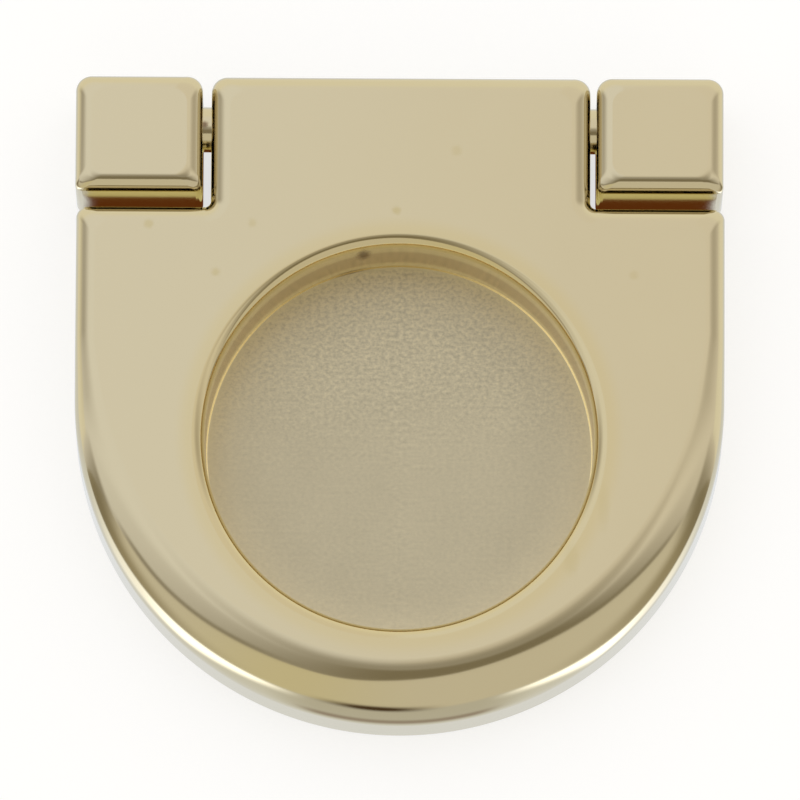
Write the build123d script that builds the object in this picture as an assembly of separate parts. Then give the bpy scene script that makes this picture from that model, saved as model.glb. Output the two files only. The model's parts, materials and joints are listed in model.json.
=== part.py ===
from build123d import *
import math
import os

# Recessed flap pull: a cast D-shaped flap with a round recess, hinged on one pin between two corner blocks.
# The pull lies on its back. +Z points out of its face, +Y to the hinge and +X to the right.
# The origin is the middle of the outline, in the plane of the back. All sizes are in millimetres.

# Outline of the closed pull
overall_width = 50.0
overall_length = 50.4
thickness = 8.0
edge_round = 1.45          # roundover of the front edges
free_end_round = 4.4       # the roundover grows to this at the tip of the free end
swell_lead = 5.0           # the growth starts this far before the sides turn into the free end
rim_spans = 16             # sections that the free end's band is lofted through, less one
band_overlap = 6.0         # the band reaches this far into the recess, which is cut later
corner_round = 1.5         # upright corners of the blocks, the tab and the shoulders

# Hinge blocks, and the gaps between them and the flap
block_width = 9.8
block_length = 9.1
side_gap = 0.575
end_gap = 1.35
notch_corner_round = 0.65
rest_shift = 0.1           # the flap sits this far to the right in its side play

# Hinge pin and what holds it
pin_diameter = 3.5
pin_height = 4.4           # the pin's axis above the back
heel_clearance = 0.8       # the tab's heel clears the mounting surface by this as it turns
pin_running_clearance = 0.05
pin_seat_depth = 3.8
pin_end_clearance = 0.1
pin_chamfer = 0.3

# Fixing holes in the backs of the blocks, core of an M4 thread
screw_core_diameter = 3.3
screw_thread_length = 5.0
drill_point_angle = 118.0

# Round recess and the disc that closes it from the back
recess_offset = 3.1        # from the centre of the free end, towards its tip
recess_diameter = 29.8     # at the disc
recess_draft = 0.1         # the wall opens by this much radius on its way up
recess_depth = 6.9
lip_round = 0.95
disc_thickness = 1.0
disc_ledge = 1.0           # the disc reaches under the recess wall by this
disc_clearance = 0.05
disc_edge_break = 0.15

# Cored back of the flap
rim_wall = 2.2
ring_wall = 1.3            # around the seat of the disc
core_depth = 5.0
core_draft_angle = 2.0
core_corner_round = 0.5
rib_thickness = 1.2
rib_count = 6
rib_spread = 200.0         # degrees from the first rib to the last
tab_core_wall = 2.4
barrel_wall = 1.3          # around the pin bore
tab_rib_count = 2

# Places worked out from the sizes
half_width = overall_width / 2
rear_y = overall_length / 2
rim_centre_y = half_width - overall_length / 2
swell_start_y = rim_centre_y + swell_lead
block_inner_x = half_width - block_width
tab_half_width = block_inner_x - side_gap
block_front_y = rear_y - block_length
shoulder_y = block_front_y - end_gap
heel_radius = pin_height - heel_clearance
pin_y = rear_y - heel_radius
pin_radius = pin_diameter / 2
pin_bore_radius = pin_radius + pin_running_clearance
pin_half_length = block_inner_x + pin_seat_depth - pin_end_clearance
block_centre_y = rear_y - block_length / 2
screw_x = half_width - (block_width - pin_seat_depth) / 2
recess_y = rim_centre_y - recess_offset
recess_radius = recess_diameter / 2
recess_top_radius = recess_radius + recess_draft
disc_top = thickness - recess_depth
disc_seat_radius = recess_radius + disc_ledge
disc_radius = disc_seat_radius - disc_clearance
ring_radius = disc_seat_radius + ring_wall
overcut = 1.0              # how far a cutting shape runs past the faces that it cuts
near = 0.001               # places closer than this are one place


def pick(shape, x, y):
    """Upright corners of a plan outline at this distance from the middle line, on both sides."""
    return [v for v in shape.vertices() if abs(abs(v.X) - x) < near and abs(v.Y - y) < near]


def slab(outline, low, high):
    """Straight upright solid between two heights."""
    return Pos(0, 0, low) * extrude(outline, high - low)


# Free end of the flap: a band around the rim whose roundover swells towards the tip

def rim_station(distance):
    """Point on the rim and the way out of it, at a distance along the rim from the tip."""
    quarter = half_width * math.pi / 2
    if abs(distance) <= quarter:
        turn = distance / half_width
        out = (math.sin(turn), -math.cos(turn))
        return (half_width * out[0], rim_centre_y + half_width * out[1]), out
    side = math.copysign(1.0, distance)
    return (side * half_width, rim_centre_y + abs(distance) - quarter), (side, 0.0)


def rim_roundover(distance, reach):
    """Radius of the roundover, which leaves the side's radius gently and is largest at the tip."""
    share = abs(distance) / reach
    return edge_round + (free_end_round - edge_round) * max(0.0, 1 - share**4) ** 1.5


def rim_section(distance, reach, depth):
    """Upright section through the rim, from inside the recess to the outer wall."""
    (x, y), out = rim_station(distance)
    radius = rim_roundover(distance, reach)
    section_plane = Plane(origin=(x, y, 0), x_dir=(*out, 0), z_dir=(out[1], -out[0], 0))
    low_inner = section_plane.from_local_coords(Vector(-depth, 0, 0))
    low_outer = section_plane.from_local_coords(Vector(0, 0, 0))
    wall_top = section_plane.from_local_coords(Vector(0, thickness - radius, 0))
    face_edge = section_plane.from_local_coords(Vector(-radius, thickness, 0))
    top_inner = section_plane.from_local_coords(Vector(-depth, thickness, 0))
    rise = radius * math.sqrt(0.5)
    middle = section_plane.from_local_coords(Vector(rise - radius, thickness - radius + rise, 0))
    return Wire([
        Edge.make_line(low_inner, low_outer),
        Edge.make_line(low_outer, wall_top),
        Edge.make_three_point_arc(wall_top, middle, face_edge),
        Edge.make_line(face_edge, top_inner),
        Edge.make_line(top_inner, low_inner),
    ])


def free_end():
    """The band around the free end, lofted through sections that are evenly spaced along the rim."""
    reach = half_width * math.pi / 2 + swell_lead
    depth = half_width - recess_radius + band_overlap
    stations = [reach * (2 * i / rim_spans - 1) for i in range(rim_spans + 1)]
    return Part(Solid.make_loft([rim_section(s, reach, depth) for s in stations]).wrapped)


# Hinged end of the flap

def hinged_end():
    """The shoulders and the tab, with the roundover of the front edges."""
    outline = make_face(Polyline(
        (-half_width, swell_start_y),
        (-half_width, shoulder_y),
        (-tab_half_width, shoulder_y),
        (-tab_half_width, rear_y),
        (tab_half_width, rear_y),
        (tab_half_width, shoulder_y),
        (half_width, shoulder_y),
        (half_width, swell_start_y),
        close=True,
    ))
    outline = fillet(pick(outline, half_width, shoulder_y), corner_round)
    outline = fillet(pick(outline, tab_half_width, rear_y), corner_round)
    outline = fillet(pick(outline, tab_half_width, shoulder_y), notch_corner_round)
    body = slab(outline, 0, thickness)
    front = body.faces().sort_by(Axis.Z)[-1]
    rounded = [e for e in front.edges() if e.center().Y > swell_start_y + near]
    return fillet(rounded, edge_round)


def heel_relief():
    """What is cut from under the tab: it leaves a heel that is round about the pin."""
    lead_in = pin_radius
    profile = make_face(
        Line((pin_y - lead_in, 0), (pin_y, heel_clearance))
        + CenterArc((pin_y, pin_height), heel_radius, -90, 90)
        + Polyline(
            (rear_y, pin_height),
            (rear_y + overcut, pin_height),
            (rear_y + overcut, -overcut),
            (pin_y - lead_in, -overcut),
            (pin_y - lead_in, 0),
        )
    )
    return extrude(Plane.YZ * profile, half_width, both=True)


def pin_bore():
    """Running bore for the pin, right through the tab."""
    return Pos(0, pin_y, pin_height) * Rot(0, 90, 0) * Cylinder(pin_bore_radius, 2 * block_inner_x)


# Recess, disc seat and lip

def recess_cut():
    """Turned shape that opens the recess: disc seat, drafted wall and rounded lip."""
    lip_low = thickness - lip_round
    lip_radius = recess_top_radius + lip_round
    sag = lip_round * (1 - math.sqrt(0.5))
    profile = make_face(
        Polyline(
            (0, -overcut),
            (disc_seat_radius, -overcut),
            (disc_seat_radius, disc_top),
            (recess_radius, disc_top),
            (recess_top_radius, lip_low),
        )
        + ThreePointArc(
            (recess_top_radius, lip_low),
            (recess_top_radius + sag, thickness - sag),
            (lip_radius, thickness),
        )
        + Polyline(
            (lip_radius, thickness),
            (lip_radius, thickness + overcut),
            (0, thickness + overcut),
            (0, -overcut),
        )
    )
    return Pos(0, recess_y, 0) * revolve(Plane.XZ * profile, Axis.Z)


def recess_disc():
    """Satin disc, set in from the back against the ledge."""
    disc = Cylinder(disc_radius, disc_thickness, align=(Align.CENTER, Align.CENTER, Align.MIN))
    disc = chamfer(disc.edges().group_by(Axis.Z)[0], disc_edge_break)
    return Pos(rest_shift, recess_y, disc_top - disc_thickness) * disc


# Cored back: the rooms are drawn smaller all round by their corner radius, and cores() grows them by it

def rim_core_outline():
    """Room between the rim wall and the ring around the disc seat, crossed by ribs."""
    inner = half_width - rim_wall - core_corner_round
    top = shoulder_y - rim_wall - core_corner_round
    turn = CenterArc((0, rim_centre_y), inner, 180, 180)
    sides = Polyline((inner, rim_centre_y), (inner, top), (-inner, top), (-inner, rim_centre_y))
    room = make_face(turn + sides)
    room -= Pos(0, recess_y) * Circle(ring_radius + core_corner_round)
    for i in range(rib_count):
        angle = -90 + rib_spread * (i / (rib_count - 1) - 0.5)
        rib = Pos(overall_length / 2, 0) * Rectangle(overall_length, rib_thickness + 2 * core_corner_round)
        room -= Pos(0, recess_y) * Rot(0, 0, angle) * rib
    return room


def tab_core_outline():
    """Room between the ring and the barrel of the hinge, crossed by ribs."""
    low = recess_y + ring_radius + ring_wall + core_corner_round
    high = pin_y - pin_bore_radius - barrel_wall - core_corner_round
    width = 2 * (tab_half_width - tab_core_wall - core_corner_round)
    room = Pos(0, (low + high) / 2) * Rectangle(width, high - low)
    for i in range(tab_rib_count):
        x = width * ((i + 1) / (tab_rib_count + 1) - 0.5)
        room -= Pos(x, (low + high) / 2) * Rectangle(rib_thickness + 2 * core_corner_round, high - low)
    return room


def cores():
    """Drafted pockets that are open at the back, with round corners."""
    rooms = rim_core_outline().faces() + tab_core_outline().faces()
    outlines = [offset(room, core_corner_round, kind=Kind.ARC) for room in rooms]
    return [extrude(outline, core_depth, taper=core_draft_angle) for outline in outlines]


def flap():
    """The whole casting, moved to the side that it rests at."""
    body = free_end() + hinged_end()
    body -= heel_relief()
    body -= pin_bore()
    body -= recess_cut()
    for pocket in cores():
        body -= pocket
    return Pos(rest_shift, 0, 0) * body


# Hinge blocks and pin

def screw_hole():
    """Blind threaded hole from the back, drawn at its core, with the point that the drill leaves."""
    radius = screw_core_diameter / 2
    point = radius / math.tan(math.radians(drill_point_angle / 2))
    profile = Polyline(
        (0, -overcut),
        (radius, -overcut),
        (radius, screw_thread_length),
        (0, screw_thread_length + point),
        close=True,
    )
    return Pos(screw_x, block_centre_y, 0) * revolve(Plane.XZ * make_face(profile), Axis.Z)


def right_block():
    """Corner block with a blind seat for the pin in its inner side."""
    plan = fillet(Rectangle(block_width, block_length).vertices(), corner_round)
    body = slab(Pos(half_width - block_width / 2, block_centre_y) * plan, 0, thickness)
    body = fillet(body.faces().sort_by(Axis.Z)[-1].edges(), edge_round)
    seat = Cylinder(pin_radius, pin_seat_depth + overcut, align=(Align.CENTER, Align.CENTER, Align.MAX))
    body -= Pos(block_inner_x + pin_seat_depth, pin_y, pin_height) * Rot(0, 90, 0) * seat
    return body - screw_hole()


def hinge_pin():
    """One straight pin with broken ends, from seat to seat."""
    pin = Cylinder(pin_radius, 2 * pin_half_length)
    pin = chamfer(pin.edges().filter_by(GeomType.CIRCLE), pin_chamfer)
    return Pos(0, pin_y, pin_height) * Rot(0, 90, 0) * pin


def main():
    right = right_block()
    pieces = {
        "flap": flap(),
        "recess_disc": recess_disc(),
        "right_hinge_block": right,
        "left_hinge_block": mirror(right, Plane.YZ),
        "hinge_pin": hinge_pin(),
    }
    os.makedirs("parts", exist_ok=True)
    for name, piece in pieces.items():
        export_step(piece, f"parts/{name}.step")


main()
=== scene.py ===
import json
import math

import bmesh
import bpy
from bpy.props import FloatProperty, FloatVectorProperty, IntProperty, PointerProperty
from bpy.types import Operator, Panel, PropertyGroup
from mathutils import Matrix, Vector


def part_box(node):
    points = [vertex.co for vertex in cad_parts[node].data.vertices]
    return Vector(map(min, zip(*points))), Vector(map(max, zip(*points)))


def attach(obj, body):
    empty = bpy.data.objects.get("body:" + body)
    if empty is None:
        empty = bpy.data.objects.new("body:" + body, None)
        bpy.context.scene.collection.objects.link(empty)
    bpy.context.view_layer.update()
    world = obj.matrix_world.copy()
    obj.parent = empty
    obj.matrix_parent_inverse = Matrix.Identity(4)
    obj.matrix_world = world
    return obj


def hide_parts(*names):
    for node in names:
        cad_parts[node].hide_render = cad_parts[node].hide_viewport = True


bl_info = {
    "name": "Recessed flap pull",
    "version": (1, 0, 0),
    "blender": (4, 5, 0),
    "location": "3D View > Sidebar > Flap pull",
    "description": "Makes a polished flap pull with a round finger recess, its hinge blocks and a studio around it",
    "category": "Add Mesh",
}

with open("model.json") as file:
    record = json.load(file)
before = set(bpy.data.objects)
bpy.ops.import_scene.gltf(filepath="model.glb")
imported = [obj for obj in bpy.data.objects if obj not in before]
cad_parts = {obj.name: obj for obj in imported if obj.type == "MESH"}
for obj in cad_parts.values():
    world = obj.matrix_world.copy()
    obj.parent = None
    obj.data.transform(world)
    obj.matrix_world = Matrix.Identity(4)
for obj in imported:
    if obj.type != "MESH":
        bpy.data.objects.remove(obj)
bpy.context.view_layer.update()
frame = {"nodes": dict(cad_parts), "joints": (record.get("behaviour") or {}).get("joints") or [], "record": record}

MM = 0.001
QUARTER = math.pi / 2
NEAR = 0.002 * MM           # places closer than this are one place
MERGE = NEAR / 10           # vertices closer than this become one vertex
PARALLEL = 0.999            # a face looks along an axis when its normal has this much of it
SHARP_ANGLE = math.radians(23)
DRILL_SLOPE = math.radians(31)  # of a drill with a 118 degree point
PICTURE = 800               # pixels along a side of the picture
SENSOR = 36.0               # mm

# Steps that round shapes are made of
RIM_STEPS = 180
CORNER_STEPS = 12
ROUND_STEPS = 24
SWELL_ROWS = 8
HEEL_STEPS = 18
THREAD_STEPS = 32

THREAD_FLAT = (0.45, 0.55)  # part of each turn over which the thread's crest is flat
THREAD_LEAD = 2             # turns drawn before the thread's mouth, and cut off
SWELL_CREST, SWELL_TAPER = 4, 1.5   # how flat the swell is at the tip, and how softly it ends
BORE_FEWER, PIN_FEWER = 4, 3    # how many times fewer faces these have than the recess
POLISHED, CAST = 0, 1       # the two finishes of a cast piece

# Places that come from the frame
FLAP_LOW, FLAP_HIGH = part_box("flap")
DISC_LOW, DISC_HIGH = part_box("recess_disc")
PIN_LOW, PIN_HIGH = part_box("hinge_pin")
PIN_RADIUS = (PIN_HIGH.z - PIN_LOW.z) / 2
HINGE = Vector(frame["joints"][0]["pos_m"])
THICKNESS = FLAP_HIGH.z
REAR_Y = FLAP_HIGH.y
CENTRE_X = (FLAP_LOW.x + FLAP_HIGH.x) / 2
RECESS = Vector(((DISC_LOW.x + DISC_HIGH.x) / 2, (DISC_LOW.y + DISC_HIGH.y) / 2, 0))
SCREWS = [m for m in frame["record"]["mounts"] if m["kind"] == "threaded_hole"]

# Rings of the finish and of its painted light, by the distance in mm from the recess's axis over which each fades
# LIP_RING and WALL_RING bound painted reflected light on the lip and the wall
LIP_RING = (16.1, 17.5)
WALL_RING = (15.03, 15.3)
RIM_RING = (14.78, 14.85)
SPECK_RING = (14.4, 14.75)
# EDGE_PAINTED_LIGHT: painted light, the disc paler towards its edge where the wall shades it
EDGE_PAINTED_LIGHT = (11.0, 14.6)
BROWN_LINE = (14.82, 0.08)  # middle and half width

# Bands of the disc's finish in mm
COARSER = (-6, 7)           # y over which the specks grow coarser
BROWN_ACROSS = (-3.7, 2.0)  # x of the brown line, its middle and half width
BROWN_BEHIND = (8, 9)       # y over which it comes in
FRONT_DEPTH = (0.2, 0.1)    # below the disc's front, where the burnish comes in

# Heights in mm between which the recess's wall has less painted light, with their fades
DIMMER_FROM, DIMMER_TO = (2.0, 2.9), (5.3, 6.2)

# Brightness of each metal's darker and paler tone
PLATING_TONES, CAST_TONES, SATIN_TONES = (0.985, 1.015), (0.8, 1.0), (0.78, 1.22)

# Brown spots and yellow smudges, each with its place in mm, stretch, reach in mm and strength
ROUND = (1, 1, 1)
FLAP_SPOTS = (
    # A dark brown streak down the recess's far wall
    ((-2.75, 11.45, 5.8), (1, 1, 0.4), 0.8, 0.75),
)
SMUDGES = (
    ((-19.3, 13.3, 8.0), ROUND, 0.55, 0.7),
    ((-11.3, 13.4, 8.0), ROUND, 0.5, 0.5),
    ((4.4, 19.2, 8.0), ROUND, 0.6, 0.4),
    ((-0.2, 14.45, 8.0), ROUND, 0.5, 0.8),
    ((-14.1, 9.5, 8.0), ROUND, 0.5, 0.7),
    ((18.1, 9.4, 8.0), ROUND, 0.55, 0.4),
    ((13.3, -12.9, 8.0), (1, 0.5, 1), 0.9, 0.4),
    ((15.8, -8.8, 8.0), (1.4, 0.35, 1), 0.9, 0.3),
)
PIN_SPOTS = (
    ((-15.05, 21.6, 6.1), ROUND, 0.4, 0.7),
)

# Light, in linear colour
WHITE = (1.0, 1.0, 1.0, 1)
CEILING = (0.97, 0.97, 0.98, 1)
WARM_CEILING = (0.92, 0.88, 0.81, 1)
REAR_WALL = (1.0, 0.97, 0.85, 1)
SHADE = (0.27, 0.235, 0.165, 1)
FRONT_WALL = (0.77, 0.735, 0.64, 1)
YELLOW_WALL = (0.78, 0.73, 0.53, 1)
LOW_WALL = (0.36, 0.31, 0.20, 1)
TABLE = (0.85, 0.88, 0.92, 1)
GREY_TABLE = (0.66, 0.66, 0.63, 1)
WARM_SHADE = (0.34, 0.27, 0.24, 1)
LAMP = (2.3, 2.35, 2.5, 1)
CAMERA_SHADE = (0.08, 0.045, 0.02, 1)
FLOOR = (0.38, 0.38, 0.385, 1)
# SLIT_PAINTED_SHADE and SLIT_PAINTED_GLOW are painted light: glows that polished metal sees on the shut-in floor,
# standing in for its shade and for gold light bounced between the walls
SLIT_PAINTED_SHADE = (0.125, 0.035, 0.006, 1)   # shut-in floor, in a first reflection
SLIT_PAINTED_GLOW = (0.85, 0.8, 0.42, 1)        # and in later ones

FLOOR_REACH = 3.0           # metres from its middle to a side
FLOOR_GAP = 0.05 * MM       # between the floor and what lies on it
FLOOR_GLOW = 0.72           # brings the floor's white up for the camera
SHUT_REACH = 30 * MM        # how far off a piece can be and still shut the floor in
SHUT_OPENNESS = (0.42, 0.25)    # the floor starts to be shut in at the first and is at the second

# Height of the front wall's edge by the turn from the front, both in degrees
WALL_EDGE = (
    (-80, 0), (-70, 13), (-60, 20), (-50, 30), (-40, 41), (-30, 47), (-15, 51), (0, 58), (15, 61),
    (32, 61), (42, 57), (50, 49), (60, 36), (70, 19), (80, -3),
)


def length(name, default_mm, description, least=0.0):
    """A size that the sidebar shows in scene units."""
    return FloatProperty(
        name=name, description=description, default=default_mm * MM, min=least, precision=5,
        subtype="DISTANCE", unit="LENGTH",
    )


def angle(name, degrees, description):
    """An angle that the sidebar shows in degrees."""
    return FloatProperty(
        name=name, description=description, default=math.radians(degrees), subtype="ANGLE", unit="ROTATION",
    )


def colour(name, default, description):
    """A plain colour, written in linear light."""
    return FloatVectorProperty(
        name=name, description=description, default=default, size=3, min=0, max=1, subtype="COLOR",
    )


def share(name, default, description):
    """A value from 0 to 1."""
    return FloatProperty(name=name, description=description, default=default, min=0, max=1, subtype="FACTOR")


class PullSizes(PropertyGroup):
    """Sizes of the casting, its recess and the two blocks."""

    half_width: length("Half width", 25.0, "From the middle line to the side of the flap")
    shoulder_y: length("Shoulder", 14.9, "How far the shoulders stand behind the middle of the outline")
    tab_half_width: length("Half width of the tab", 14.625, "From the middle line to the side of the hinge tab")
    edge_round: length("Edge roundover", 1.45, "Roundover of the front edges")
    free_end_round: length("Free end roundover", 4.4, "Roundover at the tip of the free end")
    swell_lead: length("Swell lead", 5.0, "How far along the sides the roundover starts to grow")
    corner_round: length("Corner reach", 1.5, "How far the upright corners reach along the sides")
    rear_corner: length("Rear corner round", 1.2, "Upright corners at the hinge, low on the wall")
    front_corner: length("Block front corner round", 0.55, "Upright front corners of a block, low on the wall")
    shoulder_corner: length("Shoulder corner round", 0.85, "Upright corners of the shoulders, low on the wall")
    face_corner: length("Face corner round", 1.1, "Corners of the flat face, inside its roundover")
    notch_round: length("Notch round", 0.5, "Inner corner between the tab and a shoulder")
    heel_clearance: length("Heel clearance", 0.8, "How far the heel of the tab stays off what the pull is fixed to")
    recess_radius: length("Recess radius", 14.9, "Radius of the recess at the disc")
    recess_draft: length("Recess draft", 0.1, "How much wider the recess is at its lip")
    lip_round: length("Lip round", 0.95, "Roundover of the recess's lip")
    seat_radius: length("Disc seat radius", 15.9, "Radius of the seat that the disc is set into from the back")
    core_depth: length("Core depth", 5.0, "Depth of the cored rooms in the back")
    bore_radius: length("Bore radius", 1.8, "Running bore for the hinge pin")
    block_round: length("Block roundover", 1.2, "Roundover of a block's front edges")
    pin_seat_depth: length("Pin seat depth", 3.8, "How deep the pin is pressed into a block")
    pin_chamfer: length("Pin chamfer", 0.3, "Broken ends of the pin")
    thread_radius: length("Thread radius", 2.0, "Outer radius of the screw thread")
    thread_pitch: length("Thread pitch", 0.7, "Rise of one turn of the screw thread")
    support: length("Support band", 0.03, "Narrow band that keeps the flat faces optically flat")
    steps: IntProperty(name="Round steps", description="Faces round the recess", default=240, min=12)


class PullFinish(PropertyGroup):
    """Colours and polish of the metal."""

    plating: colour("Plating", (0.645, 0.573, 0.394), "Colour of the polished pale-gold plating")
    # lip, wall and dimmer_wall are painted reflected light: yellower and brighter plating that stands in for the
    # gold light the recess reflects, less bright half way down the wall
    lip: colour("Lip plating", (0.645, 0.558, 0.345), "Yellower plating on and round the recess's lip")
    wall: colour("Wall plating", (1.0, 0.87, 0.52), "Bright plating on the recess's wall")
    dimmer_wall: colour("Dull wall plating", (0.74, 0.58, 0.31), "Duller plating half way down the recess's wall")
    casting: colour("Cast back", (0.50, 0.42, 0.26), "Colour of the plating on the unpolished back")
    satin: colour("Satin disc", (0.61, 0.555, 0.41), "Colour of the satin disc")
    burnish: colour("Disc rim", (0.86, 0.73, 0.42), "Colour of the disc's burnished rim")
    stain: colour("Stain", (0.16, 0.075, 0.04), "Colour of the brown stains")
    smudge: colour("Smudge", (0.585, 0.50, 0.28), "Colour of the faint yellow smudges")
    polish: share("Roughness", 0.1, "Roughness of the polish")
    wall_roughness: share("Wall roughness", 0.2, "Roughness of the recess's wall")
    rim_roughness: share("Disc rim roughness", 0.16, "Roughness of the disc's burnished rim")
    satin_roughness: share("Satin roughness", 0.5, "Roughness of the disc")
    cast_roughness: share("Cast roughness", 0.45, "Roughness of the unpolished back")


class PullStudio(PropertyGroup):
    """Camera and light."""

    tilt: angle("Camera tilt", 12.4, "Angle between the view and the face's normal")
    roll: angle("Camera roll", 0.3, "Turn of the picture, clockwise")
    distance: length("Camera distance", 1200.0, "From the camera to the pull")
    pixels_per_mm: FloatProperty(
        name="Scale", description="Pixels of the 800-pixel picture for each millimetre", default=12.93, min=1,
    )
    aim_x: length("Aim across", 0.135, "Where the middle of the picture is, along X", least=-1.0)
    aim_y: length("Aim up", 1.25, "Where the middle of the picture is, along Y", least=-1.0)


# Modelling helpers

def only(geom, kind):
    """The vertices, edges or faces among what an operator gives back."""
    return [g for g in geom if isinstance(g, kind)]


def plan_corners(bm, x, y):
    """Vertices at this distance from the flap's middle line, on both sides."""
    return [v for v in bm.verts if abs(abs(v.co.x - CENTRE_X) - x) < NEAR and abs(v.co.y - y) < NEAR]


def round_off(bm, geom, radius, segments, affect="EDGES"):
    """Rounds the corners of a flat outline or the edges of a solid."""
    bmesh.ops.bevel(
        bm, geom=geom, offset=radius, offset_type="OFFSET", segments=segments, profile=0.5,
        affect=affect, material=-1, clamp_overlap=False,
    )
    bm.normal_update()


def soften_corner(bm, corner, inward, reach, edge_round, wall_round, face_round):
    """Gives a rounded upright corner one radius at its wall, which changes over the roundover to the face's.

    What is cut into the straight sides beside the corner gives way to it.
    """
    centre = [corner[i] + inward[i] * reach for i in range(2)]
    run = REAR_Y - HINGE.y - reach
    slack = edge_round / 20
    for v in bm.verts:
        arm = [(centre[i] - v.co[i]) * inward[i] for i in range(2)]
        if min(arm) < -run or max(arm) < -slack or max(arm) > reach + NEAR:
            continue
        climb = min(1.0, max(0.0, (v.co.z - THICKNESS) / edge_round + 1))
        drawn_in = edge_round * (1 - math.sqrt(1 - climb**2))
        radius = wall_round + (face_round - wall_round) * math.asin(climb) / QUARTER
        if min(arm) < -slack:
            along = arm.index(min(arm))
            v.co[along] += inward[along] * (drawn_in + radius - reach) * (1 + arm[along] / run)
            continue
        out = Vector([max(0.0, a) for a in arm]).normalized()
        v.co.xy = [corner[i] + inward[i] * (drawn_in + radius * (1 - out[i])) for i in range(2)]
    bm.normal_update()


def cut(bm, place, normal, near=NEAR, clear=False):
    """Cuts all of it along a plane, and can take away what lies beyond."""
    everything = [*bm.verts, *bm.edges, *bm.faces]
    bmesh.ops.bisect_plane(bm, geom=everything, dist=near, plane_co=place, plane_no=normal, clear_outer=clear)


def cut_rows(bm, rows):
    """Cuts straight across the piece at each of these places along Y."""
    for y in rows:
        cut(bm, (0, y, 0), (0, 1, 0))


def facing(bm, axis, place, towards):
    """Flat faces that look along an axis at a place on it."""
    return [
        f for f in bm.faces
        if f.normal[axis] * towards > PARALLEL and all(abs(v.co[axis] - place) < NEAR for v in f.verts)
    ]


def level(edges, place):
    """The edges that lie at this height."""
    return [e for e in edges if all(abs(v.co.z - place) < NEAR for v in e.verts)]


def open_flat(bm, faces):
    """Takes flat faces away and gives the edges around what they covered."""
    inside = set(faces)
    rim = [e for e in {e for f in faces for e in f.edges} if any(f not in inside for f in e.link_faces)]
    bmesh.ops.delete(bm, geom=faces, context="FACES")
    return rim


def fill_flat(bm, edges, normal, material=POLISHED):
    """Fills the flat region between loops of edges."""
    made = bmesh.ops.triangle_fill(bm, use_beauty=True, edges=edges, normal=normal)["geom"]
    for face in only(made, bmesh.types.BMFace):
        face.material_index = material


def pull_in(bm, edges, shift):
    """Extends a loop of edges in one direction and gives the new loop."""
    made = bmesh.ops.extrude_edge_only(bm, edges=edges)["geom"]
    bmesh.ops.translate(bm, verts=only(made, bmesh.types.BMVert), vec=shift)
    return [e for e in only(made, bmesh.types.BMEdge) if not e.link_faces[1:]]


def ring(bm, centre, radius, steps):
    """Circle of edges that faces along X."""
    place = Matrix.Translation(centre) @ Matrix.Rotation(QUARTER, 4, "Y")
    verts = bmesh.ops.create_circle(bm, segments=steps, radius=radius, matrix=place)["verts"]
    return list({e for v in verts for e in v.link_edges})


def swing_point(bm, vert, centre, axis, sweep, steps):
    """Carries a vertex round a centre, leaving an arc of edges, and gives the arc's end."""
    return bmesh.ops.spin(bm, geom=[vert], cent=centre, axis=axis, angle=sweep, steps=steps)["geom_last"][0]


def add_line(bm, start, places):
    """Draws a chain of edges from a vertex and gives its last vertex."""
    for place in places:
        following = bm.verts.new(place)
        bm.edges.new((start, following))
        start = following
    return start


def turn_profile(bm, centre, axis, steps):
    """Turns everything drawn so far into a closed round shape."""
    bmesh.ops.spin(
        bm, geom=[*bm.verts, *bm.edges], cent=centre, axis=axis, angle=2 * math.pi, steps=steps, use_merge=True,
    )
    bmesh.ops.remove_doubles(bm, verts=bm.verts, dist=MERGE)


def to_mesh(bm, name):
    """Makes a mesh of what was modelled, and lets the model go."""
    mesh = bpy.data.meshes.new(name)
    bm.to_mesh(mesh)
    bm.free()
    return mesh


def place_object(name, data):
    """Puts a new object into the scene."""
    made = bpy.data.objects.new(name, data)
    bpy.context.scene.collection.objects.link(made)
    return made


def joined(bm, build, *values, material=POLISHED):
    """Adds what another function builds to this mesh and gives its open edges."""
    other = bmesh.new()
    build(other, *values)
    mesh = to_mesh(other, "joining")
    old_faces, old_edges = set(bm.faces), set(bm.edges)
    bm.from_mesh(mesh)
    bpy.data.meshes.remove(mesh)
    for face in (f for f in bm.faces if f not in old_faces):
        face.material_index = material
    return [e for e in bm.edges if e not in old_edges and e.is_boundary]


def finish_piece(bm, name, materials, body):
    """Makes a shown piece of a closed shell. It stands for its CAD node and rides on that node's body."""
    bmesh.ops.remove_doubles(bm, verts=bm.verts, dist=MERGE)
    bmesh.ops.recalc_face_normals(bm, faces=bm.faces)
    gaps = [e for e in bm.edges if len(e.link_faces) != 2]
    if gaps:
        raise RuntimeError(f"{name} has {len(gaps)} edges without two faces, one at {gaps[0].verts[0].co}")
    for face in bm.faces:
        face.smooth = True
    for edge in bm.edges:
        edge.smooth = edge.calc_face_angle() < SHARP_ANGLE
    mesh = to_mesh(bm, name)
    for material in materials:
        mesh.materials.append(material)
    piece = place_object(f"{name}_shape", mesh)
    shading = piece.modifiers.new("Even shading", "WEIGHTED_NORMAL")
    shading.keep_sharp = True
    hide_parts(name)
    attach(piece, body)
    return piece


# The flap

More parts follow.
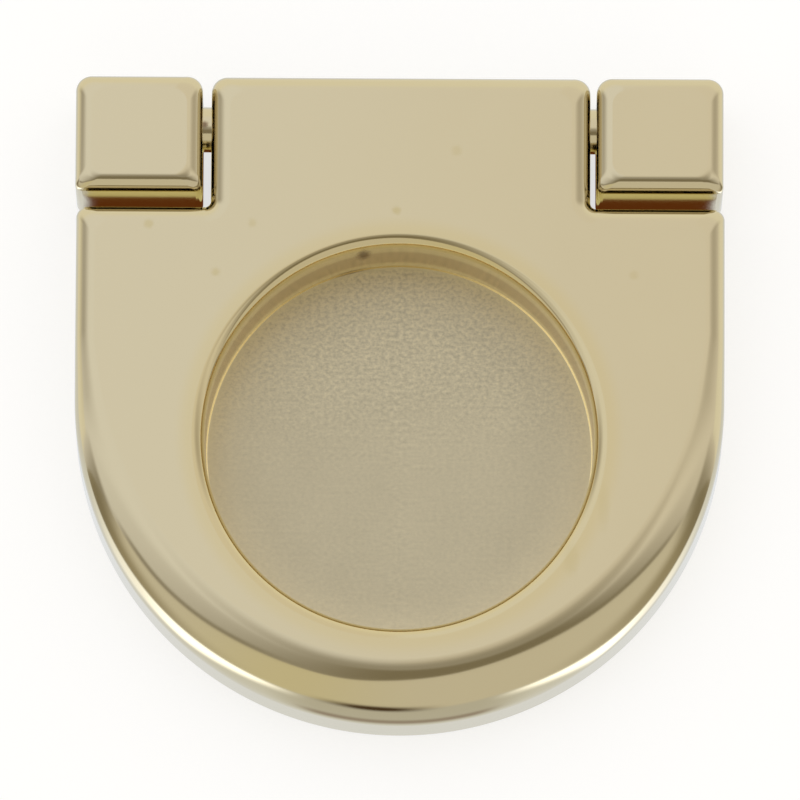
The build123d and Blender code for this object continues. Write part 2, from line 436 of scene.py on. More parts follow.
def flap_outline(bm, sizes):
    """The flap's outline on the plane of its back, as one face with round corners."""
    side = sizes.half_width
    tab = sizes.tab_half_width
    rim_y = side - REAR_Y
    first = bm.verts.new((CENTRE_X - side, rim_y, 0))
    last = swing_point(bm, first, (CENTRE_X, rim_y, 0), (0, 0, 1), math.pi, RIM_STEPS)
    corners = (
        (side, sizes.shoulder_y), (tab, sizes.shoulder_y), (tab, REAR_Y),
        (-tab, REAR_Y), (-tab, sizes.shoulder_y), (-side, sizes.shoulder_y),
    )
    end = add_line(bm, last, [(CENTRE_X + x, y, 0) for x, y in corners])
    bm.edges.new((end, first))
    bmesh.ops.contextual_create(bm, geom=bm.edges[:])
    round_off(bm, plan_corners(bm, side, sizes.shoulder_y), sizes.corner_round, CORNER_STEPS, "VERTICES")
    round_off(bm, plan_corners(bm, tab, REAR_Y), sizes.corner_round, CORNER_STEPS, "VERTICES")
    round_off(bm, plan_corners(bm, tab, sizes.shoulder_y), sizes.notch_round, CORNER_STEPS, "VERTICES")


def heel_height(y, sizes):
    """Height of the tab's underside over the plane of the back: a lead-in, then round about the pin."""
    if y > HINGE.y:
        radius = HINGE.z - sizes.heel_clearance
        return HINGE.z - math.sqrt(max(0.0, radius**2 - (y - HINGE.y) ** 2))
    return sizes.heel_clearance * max(0.0, 1 - (HINGE.y - y) / PIN_RADIUS)


def heel_rows(sizes):
    """Rows that divide the heel round the pin, and then along the tab's round corners."""
    radius = HINGE.z - sizes.heel_clearance
    corner_y = REAR_Y - sizes.corner_round
    rows = [HINGE.y + radius * math.sin(i * QUARTER / HEEL_STEPS) for i in range(HEEL_STEPS)]
    corner = [corner_y + sizes.corner_round * math.sin(i * QUARTER / CORNER_STEPS) for i in range(CORNER_STEPS)]
    return [HINGE.y - PIN_RADIUS, *(y for y in rows if y < corner_y - 10 * NEAR), *corner]


def swell_edge(bm, sizes):
    """Lets the roundover grow round the free end, by scaling its strip about the sharp edge it stands for."""
    rim_y = sizes.half_width - REAR_Y
    reach = sizes.half_width * QUARTER + sizes.swell_lead
    growth = sizes.free_end_round / sizes.edge_round - 1
    strip = [v for v in bm.verts if v.co.z > THICKNESS - sizes.edge_round - NEAR]
    for v in (v for v in strip if v.co.y < rim_y + sizes.swell_lead):
        arm = Vector((v.co.x - CENTRE_X, min(0.0, v.co.y - rim_y), 0))
        out = arm.normalized()
        along = sizes.half_width * abs(math.atan2(out.x, -out.y)) + max(0.0, v.co.y - rim_y)
        more = growth * max(0.0, 1 - (along / reach) ** SWELL_CREST) ** SWELL_TAPER
        v.co -= out * (sizes.half_width - arm.length) * more
        v.co.z -= (THICKNESS - v.co.z) * more


def recess_wall(bm, sizes, steps):
    """Lip, wall, ledge and disc seat, turned about the middle of the recess."""
    top_radius = sizes.recess_radius + sizes.recess_draft
    lip_centre = RECESS + Vector((top_radius + sizes.lip_round, 0, THICKNESS - sizes.lip_round))
    flat = bm.verts.new(RECESS + Vector((top_radius + sizes.lip_round + sizes.support, 0, THICKNESS)))
    lip = add_line(bm, flat, [lip_centre + Vector((0, 0, sizes.lip_round))])
    wall = swing_point(bm, lip, lip_centre, (0, 1, 0), -QUARTER, ROUND_STEPS)
    below = ((sizes.recess_radius, DISC_HIGH.z), (sizes.seat_radius, DISC_HIGH.z), (sizes.seat_radius, 0))
    add_line(bm, wall, [RECESS + Vector((radius, 0, z)) for radius, z in below])
    turn_profile(bm, RECESS, (0, 0, 1), steps)


def cored_rooms(bm, sizes):
    """The rooms in the casting's back, without the flat back itself, from a merged copy of the CAD node."""
    bm.from_mesh(frame["nodes"]["flap"].data)
    bmesh.ops.remove_doubles(bm, verts=bm.verts, dist=MERGE)
    bm.normal_update()
    rooms = set(facing(bm, 2, sizes.core_depth, -1))
    fresh = list(rooms)
    while fresh:
        beside = {f for e in fresh.pop().edges for f in e.link_faces} - rooms
        found = [f for f in beside if any(v.co.z > NEAR for v in f.verts)]
        rooms.update(found)
        fresh.extend(found)
    bmesh.ops.delete(bm, geom=[f for f in bm.faces if f not in rooms], context="FACES")


def pierce_tab(bm, sizes, steps):
    """Bores the tab for the pin, from one of its sides to the other."""
    loops = []
    for side in (-1, 1):
        place = CENTRE_X + side * sizes.tab_half_width
        rim = open_flat(bm, facing(bm, 0, place, side))
        loop = ring(bm, (place, HINGE.y, HINGE.z), sizes.bore_radius, steps)
        fill_flat(bm, rim + loop, (side, 0, 0))
        loops += loop
    bmesh.ops.bridge_loops(bm, edges=loops)


def flap_shell(sizes, steps):
    """The whole flap as one closed shell, with its back and rooms in the second material."""
    bm = bmesh.new()
    flap_outline(bm, sizes)
    rim_y = sizes.half_width - REAR_Y
    cut_rows(bm, [rim_y + sizes.swell_lead * (i + 1) / SWELL_ROWS for i in range(SWELL_ROWS)])
    cut_rows(bm, heel_rows(sizes))
    raised = bmesh.ops.extrude_face_region(bm, geom=bm.faces[:])["geom"]
    bmesh.ops.translate(bm, verts=only(raised, bmesh.types.BMVert), vec=(0, 0, THICKNESS))
    bmesh.ops.recalc_face_normals(bm, faces=bm.faces)
    face = bmesh.ops.dissolve_faces(bm, faces=facing(bm, 2, THICKNESS, 1))["region"][0]
    round_off(bm, face.edges[:], sizes.edge_round, ROUND_STEPS)
    for side in (-1, 1):
        for x, y, radius in (
            (sizes.half_width, sizes.shoulder_y, sizes.shoulder_corner),
            (sizes.tab_half_width, REAR_Y, sizes.rear_corner),
        ):
            soften_corner(
                bm, (CENTRE_X + side * x, y), (-side, -1), sizes.corner_round, sizes.edge_round, radius,
                sizes.face_corner,
            )
    swell_edge(bm, sizes)
    bm.normal_update()
    face = facing(bm, 2, THICKNESS, 1)
    bmesh.ops.inset_region(bm, faces=face, thickness=sizes.support, use_even_offset=True)
    face_rim = open_flat(bm, face)
    for v in bm.verts:
        if v.co.z < NEAR:
            v.co.z = heel_height(v.co.y, sizes)
    bm.normal_update()
    back_rim = open_flat(bm, facing(bm, 2, 0, -1))
    recess = joined(bm, recess_wall, sizes, steps)
    rooms = joined(bm, cored_rooms, sizes, material=CAST)
    fill_flat(bm, face_rim + level(recess, THICKNESS), (0, 0, 1))
    fill_flat(bm, back_rim + level(recess, 0) + rooms, (0, 0, -1), material=CAST)
    pierce_tab(bm, sizes, steps // BORE_FEWER)
    return bm


# The hinge blocks and the pin

def screw_thread(bm, sizes, mount):
    """Threaded hole: a V that climbs round the hole's axis, cut off level at its mouth and its end."""
    crest = mount["dims"]["r_mm"] * MM
    depth = mount["dims"]["length_mm"] * MM
    axis = Vector(mount["pos_m"])
    low = -THREAD_LEAD * sizes.thread_pitch
    turns = math.ceil(depth / sizes.thread_pitch) + THREAD_LEAD + 1
    places = [
        (axis.x + radius, axis.y, low + sizes.thread_pitch * part)
        for radius, part in zip((sizes.thread_radius, crest, crest, sizes.thread_radius), (0, *THREAD_FLAT, 1))
    ]
    add_line(bm, bm.verts.new(places[0]), places[1:])
    bmesh.ops.spin(
        bm, geom=[*bm.verts, *bm.edges], cent=(axis.x, axis.y, 0), axis=(0, 0, 1), angle=2 * math.pi * turns,
        steps=turns * THREAD_STEPS, dvec=(0, 0, sizes.thread_pitch / THREAD_STEPS),
    )
    bmesh.ops.remove_doubles(bm, verts=bm.verts, dist=MERGE)
    for place, direction in ((0, -1), (depth, 1)):
        cut(bm, (0, 0, place), (0, 0, direction), MERGE, clear=True)
    end = level([e for e in bm.edges if e.is_boundary], depth)
    floor = bmesh.ops.edgeloop_fill(bm, edges=end)["faces"]
    tip = bmesh.ops.poke(bm, faces=floor)["verts"]
    bmesh.ops.translate(bm, verts=tip, vec=(0, 0, crest * math.tan(DRILL_SLOPE)))


def block_shell(sizes, name, mount, steps):
    """A hinge block with its pin seat and its threaded hole, as one closed shell."""
    low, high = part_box(name)
    side = math.copysign(1, low.x)
    bm = bmesh.new()
    place = Matrix.Translation((low + high) / 2) @ Matrix.Diagonal((*(high - low), 1))
    bmesh.ops.create_cube(bm, size=1, matrix=place)
    upright = [e for e in bm.edges if abs(e.verts[0].co.z - e.verts[1].co.z) > NEAR]
    round_off(bm, upright, sizes.corner_round, CORNER_STEPS)
    round_off(bm, facing(bm, 2, high.z, 1)[0].edges[:], sizes.block_round, ROUND_STEPS)
    for x, in_x in ((low.x, 1), (high.x, -1)):
        for y, in_y, radius in ((low.y, 1, sizes.front_corner), (high.y, -1, sizes.rear_corner)):
            soften_corner(
                bm, (x, y), (in_x, in_y), sizes.corner_round, sizes.block_round, radius, sizes.face_corner,
            )
    bmesh.ops.inset_region(bm, faces=facing(bm, 2, high.z, 1), thickness=sizes.support, use_even_offset=True)
    back_rim = open_flat(bm, facing(bm, 2, 0, -1))
    hole = joined(bm, screw_thread, sizes, mount, material=CAST)
    fill_flat(bm, back_rim + hole, (0, 0, -1), material=CAST)
    inner_x = low.x if side > 0 else high.x
    inner_rim = open_flat(bm, facing(bm, 0, inner_x, -side))
    seat = ring(bm, (inner_x, HINGE.y, HINGE.z), PIN_RADIUS, steps)
    fill_flat(bm, inner_rim + seat, (-side, 0, 0))
    bottom = pull_in(bm, seat, (side * sizes.pin_seat_depth, 0, 0))
    bmesh.ops.edgeloop_fill(bm, edges=bottom)
    return bm


def pin_shell(sizes, steps):
    """The hinge pin with its broken ends, turned about its own axis."""
    bm = bmesh.new()
    chamfer = sizes.pin_chamfer
    profile = (
        (PIN_LOW.x, 0), (PIN_LOW.x, PIN_RADIUS - chamfer), (PIN_LOW.x + chamfer, PIN_RADIUS),
        (PIN_HIGH.x - chamfer, PIN_RADIUS), (PIN_HIGH.x, PIN_RADIUS - chamfer), (PIN_HIGH.x, 0),
    )
    places = [Vector((x, HINGE.y, HINGE.z + radius)) for x, radius in profile]
    add_line(bm, bm.verts.new(places[0]), places[1:])
    turn_profile(bm, HINGE, (1, 0, 0), steps)
    return bm


# Shader helpers

VECTOR, NUMBER = "NodeSocketVector", "NodeSocketFloat"


class Graph:
    """Adds nodes to a tree and wires them, so that a finish reads like a formula."""

    def __init__(self, tree):
        self.tree = tree

    def add(self, kind, inputs=(), **settings):
        node = self.tree.nodes.new(kind)
        for key, value in settings.items():
            setattr(node, key, value)
        for key, value in dict(inputs).items():
            self.feed(value, node.inputs[key])
        return node

    def feed(self, value, socket):
        if isinstance(value, bpy.types.NodeSocket):
            self.tree.links.new(value, socket)
        else:
            socket.default_value = value

    def math(self, operation, *values):
        return self.add("ShaderNodeMath", enumerate(values), operation=operation).outputs[0]

    def vector(self, operation, *values):
        node = self.add("ShaderNodeVectorMath", enumerate(values), operation=operation)
        return node.outputs["Value" if operation in ("DISTANCE", "LENGTH", "DOT_PRODUCT") else "Vector"]

    def band(self, value, low, high, to_low=0.0, to_high=1.0):
        """Goes smoothly from one value to another as its input goes from low to high."""
        inputs = {"Value": value, "From Min": low, "From Max": high, "To Min": to_low, "To Max": to_high}
        return self.add("ShaderNodeMapRange", inputs, interpolation_type="SMOOTHSTEP").outputs[0]

    def both(self, *masks):
        """Where all of these masks meet."""
        whole = masks[0]
        for mask in masks[1:]:
            whole = self.math("MULTIPLY", whole, mask)
        return whole

    def hump(self, value, middle, half_width):
        """1 at the middle, and smoothly down to 0 at half_width from it."""
        away = self.math("ABSOLUTE", self.math("SUBTRACT", value, middle))
        return self.band(away, 0.0, half_width, 1.0, 0.0)

    def noise(self, vector, scale, detail=2.0, roughness=0.5):
        inputs = {"Vector": vector, "Scale": scale, "Detail": detail, "Roughness": roughness}
        return self.add("ShaderNodeTexNoise", inputs).outputs["Fac"]

    def mix(self, factor, first, second):
        """Blends two colours."""
        return self.add("ShaderNodeMix", {0: factor, 6: first, 7: second}, data_type="RGBA").outputs[2]

    def blend(self, factor, first, second):
        """Blends two numbers."""
        return self.add("ShaderNodeMix", {0: factor, 2: first, 3: second}, data_type="FLOAT").outputs[0]


def new_group(name, inputs, outputs):
    """Starts a shared effect with named numbers or vectors going in and coming out."""
    tree = bpy.data.node_groups.new(name, "ShaderNodeTree")
    for direction, sockets in (("INPUT", inputs), ("OUTPUT", outputs)):
        for socket, kind in sockets.items():
            tree.interface.new_socket(socket, in_out=direction, socket_type=kind)
    graph = Graph(tree)
    return graph, graph.add("NodeGroupInput").outputs, graph.add("NodeGroupOutput").inputs


def placed(graph, name, inputs):
    """Places a shared effect, with its own values, and gives what comes out."""
    return graph.add("ShaderNodeGroup", inputs, node_tree=bpy.data.node_groups[name]).outputs


def opaque(rgb, brightness=1.0):
    """A finish's colour as a shader takes it."""
    return (*(min(1.0, c * brightness) for c in rgb), 1)


def toned(graph, factor, rgb, tones):
    """A metal's colour, between its darker and its paler tone."""
    return graph.mix(factor, *(opaque(rgb, brightness) for brightness in tones))


def new_material(name):
    """A material, its graph and its nodes."""
    material = bpy.data.materials.new(name)
    material.use_nodes = True
    return material, Graph(material.node_tree), material.node_tree.nodes


def metal(name, roughness):
    """A metal material, its graph, its shader and the object's own coordinates."""
    material, graph, nodes = new_material(name)
    shader = nodes["Principled BSDF"]
    shader.inputs["Metallic"].default_value = 1.0
    shader.inputs["Roughness"].default_value = roughness
    return material, graph, shader, graph.add("ShaderNodeTexCoord").outputs["Object"]


def fade(graph, distance, ring, inside=1.0, outside=0.0):
    """One value before a ring or a band of the finish, and another after it."""
    return graph.band(distance, ring[0] * MM, ring[1] * MM, inside, outside)


# Finishes

def make_spot_group():
    """A small ragged spot or streak on a surface, as a mask."""
    graph, given, out = new_group(
        "Ragged spot",
        {"Vector": VECTOR, "Place": VECTOR, "Stretch": VECTOR, "Reach": NUMBER, "Raggedness": NUMBER},
        {"Mask": NUMBER},
    )
    offset = graph.vector("MULTIPLY", graph.vector("SUBTRACT", given["Vector"], given["Place"]), given["Stretch"])
    rough_edge = graph.math("SUBTRACT", graph.noise(given["Vector"], 2600.0, 4.0, 0.7), 0.5)
    away = graph.math("DIVIDE", graph.vector("LENGTH", offset), given["Reach"])
    away = graph.math("ADD", away, graph.math("MULTIPLY", rough_edge, given["Raggedness"]))
    graph.feed(graph.band(away, 0.2, 1.0, 1.0, 0.0), out["Mask"])


def make_handling_group():
    """Faint clouding of a polish that has been handled, as a value round zero, and its fine waviness."""
    graph, given, out = new_group(
        "Handled polish",
        {"Vector": VECTOR, "Cloud size": NUMBER, "Wave size": NUMBER},
        {"Clouding": NUMBER, "Waviness": NUMBER},
    )
    cloud_scale = graph.math("DIVIDE", 1.0, given["Cloud size"])
    wave_scale = graph.math("DIVIDE", 1.0, given["Wave size"])
    cloud = graph.noise(given["Vector"], cloud_scale, 5.0, 0.6)
    graph.feed(graph.math("SUBTRACT", cloud, 0.5), out["Clouding"])
    graph.feed(graph.noise(given["Vector"], wave_scale, 1.0, 0.4), out["Waviness"])


def make_speck_group():
    """Fine specks and grain lines of a satin finish, as values round zero."""
    graph, given, out = new_group(
        "Satin grain",
        {"Vector": VECTOR, "Line": VECTOR, "Fineness": NUMBER},
        {"Specks": NUMBER, "Lines": NUMBER},
    )
    drawn_out = graph.vector("MULTIPLY", given["Vector"], given["Line"])
    specks = graph.noise(drawn_out, given["Fineness"], 3.0, 0.65)
    lines = graph.noise(graph.vector("MULTIPLY", drawn_out, given["Line"]), given["Fineness"], 2.0, 0.5)
    graph.feed(graph.math("SUBTRACT", specks, 0.5), out["Specks"])
    graph.feed(graph.math("SUBTRACT", lines, 0.5), out["Lines"])


def emboss(graph, shader, height, strength, depth_mm):
    """Gives a shader a fine relief."""
    bump = graph.add("ShaderNodeBump", {"Height": height, "Strength": strength, "Distance": depth_mm * MM})
    graph.feed(bump.outputs["Normal"], shader.inputs["Normal"])


def stained(graph, place, spots):
    """Brings several spots together in one mask."""
    mask = None
    for spot_place, stretch, reach, strength in spots:
        spot = placed(graph, "Ragged spot", {
            "Vector": place, "Place": tuple(c * MM for c in spot_place), "Stretch": stretch,
            "Reach": reach * MM, "Raggedness": 0.7,
        })["Mask"]
        spot = graph.math("MULTIPLY", spot, strength)
        mask = spot if mask is None else graph.math("MAXIMUM", mask, spot)
    return mask


def recess_plating(graph, finish, place, plating):
    """Puts painted reflected light over the rest of the plating, yellower on the recess's lip and brighter on its
    wall, less so half way down, and gives the wall's mask as well.
    """
    from_axis = graph.vector("DISTANCE", graph.vector("MULTIPLY", place, (1, 1, 0)), tuple(RECESS))
    plating = graph.mix(fade(graph, from_axis, LIP_RING), plating, opaque(finish.lip))
    height = graph.add("ShaderNodeSeparateXYZ", {"Vector": place}).outputs["Z"]
    dimmer_band = graph.both(fade(graph, height, DIMMER_FROM, 0.0, 1.0), fade(graph, height, DIMMER_TO))
    wall = graph.mix(dimmer_band, opaque(finish.wall), opaque(finish.dimmer_wall))
    in_wall = fade(graph, from_axis, WALL_RING)
    return graph.mix(in_wall, plating, wall), in_wall


def polished_material(finish, name, spots, smudges):
    """Bright plating over a polished casting, with faint dark brown spots and yellow smudges, the pin's spot being
    dirt that the real one has; on the flap, the recess's lip and wall get painted reflected light.
    """
    material, graph, shader, place = metal(name, finish.polish)
    wear = placed(graph, "Handled polish", {"Vector": place, "Cloud size": 9 * MM, "Wave size": 7 * MM})
    stains = stained(graph, place, spots)
    cloud = graph.math("ADD", 0.5, wear["Clouding"])
    plating = toned(graph, cloud, finish.plating, PLATING_TONES)
    roughness = graph.math("MULTIPLY_ADD", wear["Clouding"], 0.04, finish.polish)
    if smudges:
        # Painted reflected light: yellower plating on the lip, brighter on the wall
        plating, in_wall = recess_plating(graph, finish, place, plating)
        plating = graph.mix(stained(graph, place, smudges), plating, opaque(finish.smudge))
        roughness = graph.blend(in_wall, roughness, finish.wall_roughness)
    graph.feed(graph.mix(stains, plating, opaque(finish.stain)), shader.inputs["Base Color"])
    roughness = graph.math("MULTIPLY_ADD", stains, 0.3, roughness)
    graph.feed(roughness, shader.inputs["Roughness"])
    emboss(graph, shader, wear["Waviness"], 1.0, 0.004)
    return material


def cast_material(finish):
    """The plated but unpolished back of a casting."""
    _, graph, shader, place = metal("cast_back", finish.cast_roughness)
    grain = placed(graph, "Satin grain", {"Vector": place, "Line": (1.0, 1.0, 1.0), "Fineness": 1500.0})
    wear = placed(graph, "Handled polish", {"Vector": place, "Cloud size": 6 * MM, "Wave size": 3 * MM})
    cloud = graph.math("ADD", 0.5, wear["Clouding"])
    graph.feed(toned(graph, cloud, finish.casting, CAST_TONES), shader.inputs["Base Color"])
    roughness = graph.math("MULTIPLY_ADD", grain["Specks"], 0.3, finish.cast_roughness)
    graph.feed(roughness, shader.inputs["Roughness"])
    emboss(graph, shader, grain["Specks"], 0.6, 0.05)


def satin_material(finish):
    """The satin disc: specks that are coarser at its far side, a burnished rim, a brown line at its edge, and
    painted light that makes it paler towards its edge.
    """
    material, graph, shader, place = metal("satin_disc", finish.satin_roughness)
    grain = placed(graph, "Satin grain", {"Vector": place, "Line": (0.8, 1.0, 1.0), "Fineness": 3700.0})
    wear = placed(graph, "Handled polish", {"Vector": place, "Cloud size": 5 * MM, "Wave size": 4 * MM})
    x, y, z = graph.add("ShaderNodeSeparateXYZ", {"Vector": place}).outputs
    from_middle = graph.vector("DISTANCE", place, tuple(RECESS + Vector((0, 0, DISC_HIGH.z))))
    in_front = graph.band(z, *(DISC_HIGH.z - depth * MM for depth in FRONT_DEPTH))
    rim = graph.both(fade(graph, from_middle, RIM_RING, 0.0, 1.0), in_front)
    coarse = fade(graph, y, COARSER, 0.2, 1.0)
    coarse = graph.math("MULTIPLY", coarse, fade(graph, from_middle, SPECK_RING, 1.0, 0.2))
    specks = graph.math("MULTIPLY", grain["Specks"], coarse)
    tone = 0.5
    for effect, strength in ((specks, 3.0), (grain["Lines"], 0.3), (wear["Clouding"], 0.3)):
        tone = graph.math("MULTIPLY_ADD", effect, strength, tone)
    # Painted light: paler towards the edge, where the recess's wall shades the disc
    tone = graph.math("ADD", tone, fade(graph, from_middle, EDGE_PAINTED_LIGHT, 0.0, 0.3))
    satin = toned(graph, tone, finish.satin, SATIN_TONES)
    # A dark brown line along the far edge of the disc, at the wall's foot
    edge = graph.hump(from_middle, BROWN_LINE[0] * MM, BROWN_LINE[1] * MM)
    across = graph.hump(x, BROWN_ACROSS[0] * MM, BROWN_ACROSS[1] * MM)
    line = graph.both(edge, across, fade(graph, y, BROWN_BEHIND, 0.0, 1.0))
    colour_in = graph.mix(rim, satin, opaque(finish.burnish))
    colour_in = graph.mix(graph.math("MULTIPLY", line, 0.65), colour_in, opaque(finish.stain))
    graph.feed(colour_in, shader.inputs["Base Color"])
    rough = graph.math("MULTIPLY_ADD", specks, 0.35, finish.satin_roughness)
    graph.feed(graph.blend(rim, rough, finish.rim_roughness), shader.inputs["Roughness"])
    height = graph.math("ADD", specks, graph.math("MULTIPLY", grain["Lines"], 0.5))
    emboss(graph, shader, height, 0.35, 0.03)
    return material


def cast_finishes(finish):
    """The two finishes of the castings, made once."""
    made = bpy.data.materials
    if "pale_gold_polish" not in made:
        polished_material(finish, "pale_gold_polish", FLAP_SPOTS, SMUDGES)
        cast_material(finish)
    return [made["pale_gold_polish"], made["cast_back"]]


# Studio

class Sky:
    """The studio round the pull, drawn by direction in degrees: what its polished roundovers show.

    The turn is 0 to the front, where the camera stands, and grows to the right. The height is 90 overhead.
    """

    def __init__(self, graph):
        self.graph = graph
        direction = graph.add("ShaderNodeTexCoord").outputs["Generated"]
        x, y, z = graph.add("ShaderNodeSeparateXYZ", {"Vector": direction}).outputs
        front = graph.math("MULTIPLY", y, -1.0)
        self.height = graph.math("DEGREES", graph.math("ARCSINE", z))
        self.turn = graph.math("DEGREES", graph.math("ARCTAN2", x, front))
        self.aside = graph.math("ABSOLUTE", self.turn)
        over = graph.math("MAXIMUM", z, 0.001)
        self.forward = graph.math("DIVIDE", front, over)
        self.sideways = graph.math("DIVIDE", x, over)

    def by_side(self, left, right):
        """One value on the left and another on the right."""
        return self.graph.blend(self.graph.band(self.turn, -8, 8), left, right)

    def ceiling(self):
        """Bright overhead and behind, a little warmer on the right, and in the camera's shade to the front."""
        g = self.graph
        plain = g.mix(g.band(self.turn, 20, 100), CEILING, WARM_CEILING)
        plain = g.mix(g.band(self.forward, -0.5, -2.5), plain, REAR_WALL)
        shade = self.by_side(g.band(self.turn, -90, 0, 0.1, 1.0), g.band(self.turn, 45, 90, 1.0, 0.1))
        shade = g.both(shade, g.band(self.forward, 0.0, 0.25))
        away = g.add("ShaderNodeCombineXYZ", {"X": self.sideways, "Y": self.forward}).outputs[0]
        round_camera = g.band(g.vector("DISTANCE", away, (0.08, 0.25, 0.0)), 0.47, 0.16, 0.0, 0.8)
        return g.mix(g.math("MAXIMUM", shade, round_camera), plain, SHADE)

    def below(self):
        """The white table, greyer in front of the camera, with bright lamps on both sides of it."""
        g = self.graph
        table = g.mix(g.band(self.aside, 18, 34), GREY_TABLE, TABLE)
        table = g.mix(g.band(self.height, -58, -72), table, TABLE)
        table = g.mix(g.both(g.band(self.aside, 26, 18), g.hump(self.height, -51, 13), 0.8), table, WARM_SHADE)
        top = self.by_side(g.band(self.turn, -85, -20, -30, -9), g.band(self.turn, 18, 62, -9, -36))
        under = g.math("SUBTRACT", top, self.height)
        wide = g.band(self.aside, 25, 55, 14, 30)
        span = g.both(g.band(under, -2, 5), g.band(g.math("SUBTRACT", under, wide), 4, -12))
        near, far = g.band(self.aside, 20, 36), g.band(self.aside, 92, 66, 0, 0.38)
        strength = g.blend(g.band(self.aside, 50, 68), near, far)
        return g.mix(g.both(span, strength), table, LAMP), g.band(under, -3, 3)

    def front_wall(self):
        """The paler wall behind the camera, yellower left of its middle and browner low down at the sides."""
        g = self.graph
        wall = g.mix(g.hump(self.turn, -26, 34), FRONT_WALL, YELLOW_WALL)
        low = g.both(g.band(self.height, 10, -18), g.band(self.aside, 25, 72), 0.85)
        return g.mix(low, wall, LOW_WALL)

    def wall_edge(self):
        """How high the front wall's edge stands, by the turn."""
        g = self.graph
        outline = g.add("ShaderNodeFloatCurve")
        points = outline.mapping.curves[0].points
        points[0].location, points[-1].location = (0, 0), (1, 0)
        for turn, height in WALL_EDGE:
            points.new(0.5 + turn / 180, 0.5 + height / 180)
        outline.mapping.update()
        g.feed(g.math("MULTIPLY_ADD", self.turn, 1 / 180, 0.5), outline.inputs["Value"])
        return g.math("MULTIPLY", g.math("SUBTRACT", outline.outputs[0], 0.5), 180.0)

    def colour(self):
        """Ceiling, front wall and table together, with the dark lines between them and the shade on both sides."""
        g = self.graph
        over_edge = g.math("SUBTRACT", self.height, self.wall_edge())
        whole = g.mix(g.band(over_edge, 2, -1.5), self.ceiling(), self.front_wall())
        edge = g.both(g.hump(over_edge, 4, 9), g.band(self.aside, 78, 66), g.band(self.aside, 20, 45), 0.8)
        flank = g.both(g.hump(self.aside, 80, 13), g.band(self.height, 18, 5), 0.8)
        beside = self.by_side(g.hump(self.height, 20, 42), g.both(g.hump(self.height, 38, 54), 0.78))
        beside = g.both(g.hump(self.aside, 108, 24), beside, 0.64)
        shaded = g.math("MAXIMUM", g.math("MAXIMUM", edge, flank), beside)
        whole = g.mix(shaded, whole, SHADE)
        table, under = self.below()
        whole = g.mix(under, whole, table)
        camera = g.both(g.hump(self.turn, -5, 17), g.hump(self.height, -8, 10), 1.3)
        return g.mix(g.math("MINIMUM", camera, 1.0), whole, CAMERA_SHADE)


def make_world():
    """White for the camera, and the studio for everything that the pull reflects."""
    world = bpy.data.worlds.new("Studio")
    world.use_nodes = True
    graph = Graph(world.node_tree)
    camera_ray = graph.add("ShaderNodeLightPath").outputs["Is Camera Ray"]
    colour_in = graph.mix(camera_ray, Sky(graph).colour(), WHITE)
    graph.feed(colour_in, world.node_tree.nodes["Background"].inputs["Color"])
    bpy.context.scene.world = world


def floor_material():
    """Pale floor that is white to the camera and keeps the pull's soft shadow.

    Polished metal sees the studio's table in its place, except where the pull shuts the floor in.
    There it sees painted shade, a dark brown glow, on its first reflection, and a painted gold glow on later ones.
    """
    material, graph, nodes = new_material("pale_floor")
    nodes.remove(nodes["Principled BSDF"])
    path = graph.add("ShaderNodeLightPath").outputs
    diffuse = graph.add("ShaderNodeBsdfDiffuse", {"Color": FLOOR})
    # Painted shade on the first reflection, painted gold glow on later ones
    bounced = graph.band(path["Glossy Depth"], 1.2, 1.8)
    painted_slit_light = graph.add("ShaderNodeEmission", {"Color": graph.mix(bounced, SLIT_PAINTED_SHADE, SLIT_PAINTED_GLOW)})
    glow = graph.add("ShaderNodeEmission", {
        "Color": WHITE, "Strength": graph.math("MULTIPLY", path["Is Camera Ray"], FLOOR_GLOW),
    })
    pale = graph.add("ShaderNodeAddShader", {0: diffuse.outputs[0], 1: glow.outputs[0]})
    clear = graph.add("ShaderNodeBsdfTransparent")
    openness = graph.add("ShaderNodeAmbientOcclusion", {"Distance": SHUT_REACH}, samples=32).outputs["AO"]
    shut = graph.band(openness, *SHUT_OPENNESS)
    seen = graph.add("ShaderNodeMixShader", {0: shut, 1: clear.outputs[0], 2: painted_slit_light.outputs[0]})
    top = graph.add("ShaderNodeMixShader", {0: path["Is Glossy Ray"], 1: pale.outputs[0], 2: seen.outputs[0]})
    below = graph.add("ShaderNodeNewGeometry").outputs["Backfacing"]
    both = graph.add("ShaderNodeMixShader", {0: below, 1: top.outputs[0], 2: clear.outputs[0]})
    graph.feed(both.outputs[0], nodes["Material Output"].inputs["Surface"])
    return material


def make_floor():
    """Lays the floor just under the pull."""
    bm = bmesh.new()
    place = Matrix.Translation((0, 0, -FLOOR_GAP))
    bmesh.ops.create_grid(bm, x_segments=1, y_segments=1, size=FLOOR_REACH, matrix=place)
    mesh = to_mesh(bm, "floor")
    mesh.materials.append(floor_material())
    floor = place_object("floor", mesh)


def make_camera(studio):
    """Looks down at the pull's face, a little from its free end, as the photograph does."""
    data = bpy.data.cameras.new("Camera")
    data.sensor_width = SENSOR
    data.lens = studio.pixels_per_mm * studio.distance / MM * SENSOR / PICTURE
    camera = place_object("Camera", data)
    turn = Matrix.Rotation(studio.tilt, 4, "X") @ Matrix.Rotation(studio.roll, 4, "Z")
    aim = Matrix.Translation((studio.aim_x, studio.aim_y, 0))
    camera.matrix_world = aim @ turn @ Matrix.Translation((0, 0, studio.distance))
    bpy.context.scene.camera = camera


# Operators

class FlapPiece(Operator):
    """Makes the flap with its tab, recess and cored back"""

    bl_idname = "flap_pull.flap"
    bl_label = "Flap"

    def execute(self, context):
        sizes = context.scene.flap_pull_sizes
        bm = flap_shell(sizes, sizes.steps)
        materials = cast_finishes(context.scene.flap_pull_finish)
        finish_piece(bm, "flap", materials, "swing")
        return {"FINISHED"}


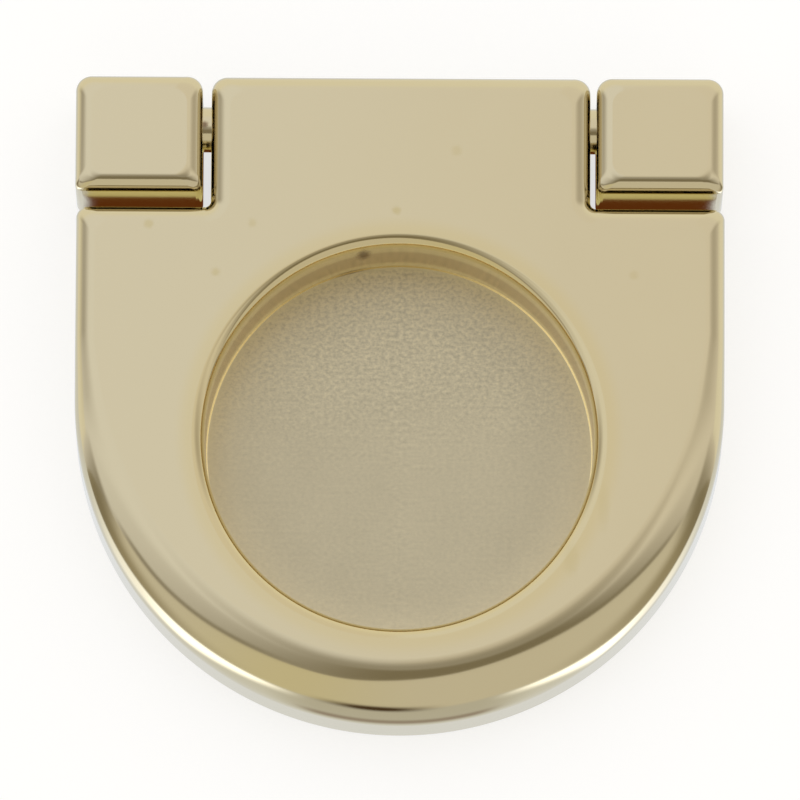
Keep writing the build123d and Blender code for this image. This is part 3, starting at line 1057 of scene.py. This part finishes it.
class DiscPiece(Operator):
    """Gives the satin disc at the bottom of the recess its finish"""

    bl_idname = "flap_pull.disc"
    bl_label = "Recess disc"

    def execute(self, context):
        material = satin_material(context.scene.flap_pull_finish)
        for slot in frame["nodes"]["recess_disc"].material_slots:
            slot.material = material
        return {"FINISHED"}


class BlockPieces(Operator):
    """Makes the two hinge blocks with their pin seats and threaded holes"""

    bl_idname = "flap_pull.blocks"
    bl_label = "Hinge blocks"

    def execute(self, context):
        sizes = context.scene.flap_pull_sizes
        materials = cast_finishes(context.scene.flap_pull_finish)
        for name, mount in zip(("left_hinge_block", "right_hinge_block"), SCREWS):
            bm = block_shell(sizes, name, mount, sizes.steps // BORE_FEWER)
            finish_piece(bm, name, materials, "mount")
        return {"FINISHED"}


class PinPiece(Operator):
    """Makes the hinge pin"""

    bl_idname = "flap_pull.pin"
    bl_label = "Hinge pin"

    def execute(self, context):
        sizes = context.scene.flap_pull_sizes
        material = polished_material(context.scene.flap_pull_finish, "pin_polish", PIN_SPOTS, ())
        finish_piece(pin_shell(sizes, sizes.steps // PIN_FEWER), "hinge_pin", [material], "mount")
        return {"FINISHED"}


class StudioStage(Operator):
    """Sets up the floor, the light and the camera"""

    bl_idname = "flap_pull.studio"
    bl_label = "Studio"

    def execute(self, context):
        make_world()
        make_floor()
        make_camera(context.scene.flap_pull_studio)
        context.scene.view_settings.view_transform = "Standard"
        return {"FINISHED"}


PIECE_OPERATORS = (FlapPiece, DiscPiece, BlockPieces, PinPiece, StudioStage)
SETTINGS = {"flap_pull_sizes": PullSizes, "flap_pull_finish": PullFinish, "flap_pull_studio": PullStudio}


class PullPanel(Panel):
    """Sizes, finish and the steps that make the pull"""

    bl_idname = "VIEW3D_PT_flap_pull"
    bl_label = "Flap pull"
    bl_space_type = "VIEW_3D"
    bl_region_type = "UI"
    bl_category = "Flap pull"

    def draw(self, context):
        for group in SETTINGS:
            box = self.layout.box()
            settings = getattr(context.scene, group)
            for name in settings.__annotations__:
                box.prop(settings, name)
        for operator in PIECE_OPERATORS:
            self.layout.operator(operator.bl_idname)


CLASSES = (*SETTINGS.values(), *PIECE_OPERATORS, PullPanel)


def register():
    for cls in CLASSES:
        bpy.utils.register_class(cls)
    for name, group in SETTINGS.items():
        setattr(bpy.types.Scene, name, PointerProperty(type=group))


def unregister():
    for name in SETTINGS:
        delattr(bpy.types.Scene, name)
    for cls in reversed(CLASSES):
        bpy.utils.unregister_class(cls)


def main():
    """Makes the pull and its studio."""
    register()
    for make_group in (make_spot_group, make_handling_group, make_speck_group):
        make_group()
    pull = bpy.ops.flap_pull
    for step in (pull.flap, pull.disc, pull.blocks, pull.pin, pull.studio):
        step()


if __name__ == "__main__":
    main()
